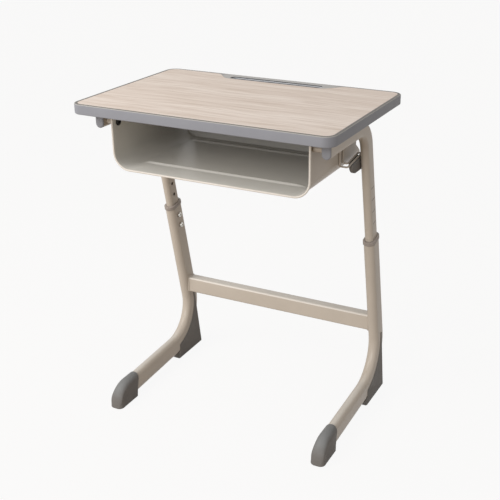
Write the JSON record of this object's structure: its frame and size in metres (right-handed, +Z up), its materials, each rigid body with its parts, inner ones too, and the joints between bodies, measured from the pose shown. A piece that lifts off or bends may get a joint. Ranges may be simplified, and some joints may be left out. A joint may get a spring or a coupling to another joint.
{
  "type": "height-adjustable school desk",
  "caption": "School desk with a wood-grain top, pen tray, open steel book box and a flat-oval tube frame whose leaning uprights slide to set the height.",
  "frame": {"origin": "on the floor, under the middle of the desk's outline", "axes": "+X to the user's right, +Y from the user towards the back, +Z up"},
  "size_m": [0.606, 0.414, 0.76],
  "materials": {
    "beige_paint": "satin powder coat",
    "grey_plastic": "fine texture",
    "dark_plastic": "fine texture",
    "wood_laminate": "pale wood-grain sheet",
    "chipboard": "raw chipboard",
    "backing_sheet": "plain",
    "zinc_steel": "zinc plated",
    "black_steel": "black coating"
  },
  "bodies": {
    "standing_frame": {"crossbar": "beige_paint", "lower_tube_left": "beige_paint", "lower_tube_right": "beige_paint", "collar_left": "grey_plastic", "collar_right": "grey_plastic", "toe_cap_left": "dark_plastic", "toe_cap_right": "dark_plastic", "heel_pad_left": "dark_plastic", "heel_pad_right": "dark_plastic"},
    "moving_frame": {"desktop_core": "chipboard", "desktop_laminate": "wood_laminate", "desktop_backing": "backing_sheet", "edge_band": "grey_plastic", "upper_tube_left": "beige_paint", "upper_tube_right": "beige_paint", "arm_cap_left": "grey_plastic", "arm_cap_right": "grey_plastic", "tube_bush_left": "dark_plastic", "tube_bush_right": "dark_plastic", "top_screw_left_front": "zinc_steel", "top_screw_left_back": "zinc_steel", "top_screw_right_front": "zinc_steel", "top_screw_right_back": "zinc_steel", "book_box": "beige_paint", "box_bolt_left_front": "black_steel", "box_bolt_left_back": "black_steel", "box_bolt_right_front": "black_steel", "box_bolt_right_back": "black_steel", "box_spacer_left_front": "beige_paint", "box_spacer_left_back": "beige_paint", "box_spacer_right_front": "beige_paint", "box_spacer_right_back": "beige_paint", "box_nut_left_front": "zinc_steel", "box_nut_left_back": "zinc_steel", "box_nut_right_front": "zinc_steel", "box_nut_right_back": "zinc_steel", "flange_screw_left": "zinc_steel", "flange_screw_right": "zinc_steel", "hook_tongue_left": "dark_plastic", "hook_tongue_right": "dark_plastic", "hook_screw_left": "zinc_steel", "hook_screw_right": "zinc_steel", "strap_loop_left": "beige_paint", "strap_loop_right": "beige_paint"},
    "bolt_left_lower": {"height_bolt_left_lower": "zinc_steel"},
    "bolt_left_upper": {"height_bolt_left_upper": "zinc_steel"},
    "bolt_right_lower": {"height_bolt_right_lower": "zinc_steel"},
    "bolt_right_upper": {"height_bolt_right_upper": "zinc_steel"}
  },
  "joints": [
    {"name": "height_slide", "type": "slide", "parent": "standing_frame", "child": "moving_frame", "axis": [0, -0.2079, 0.9781], "range_m": [-0.15, 0]},
    {"name": "bolt_left_lower_slide", "type": "slide", "parent": "standing_frame", "child": "bolt_left_lower", "axis": [-1, 0, 0], "range_m": [0, 0.0017]},
    {"name": "bolt_left_upper_slide", "type": "slide", "parent": "standing_frame", "child": "bolt_left_upper", "axis": [-1, 0, 0], "range_m": [0, 0.0017]},
    {"name": "bolt_right_lower_slide", "type": "slide", "parent": "standing_frame", "child": "bolt_right_lower", "axis": [1, 0, 0], "range_m": [0, 0.0017]},
    {"name": "bolt_right_upper_slide", "type": "slide", "parent": "standing_frame", "child": "bolt_right_upper", "axis": [1, 0, 0], "range_m": [0, 0.0017]}
  ]
}
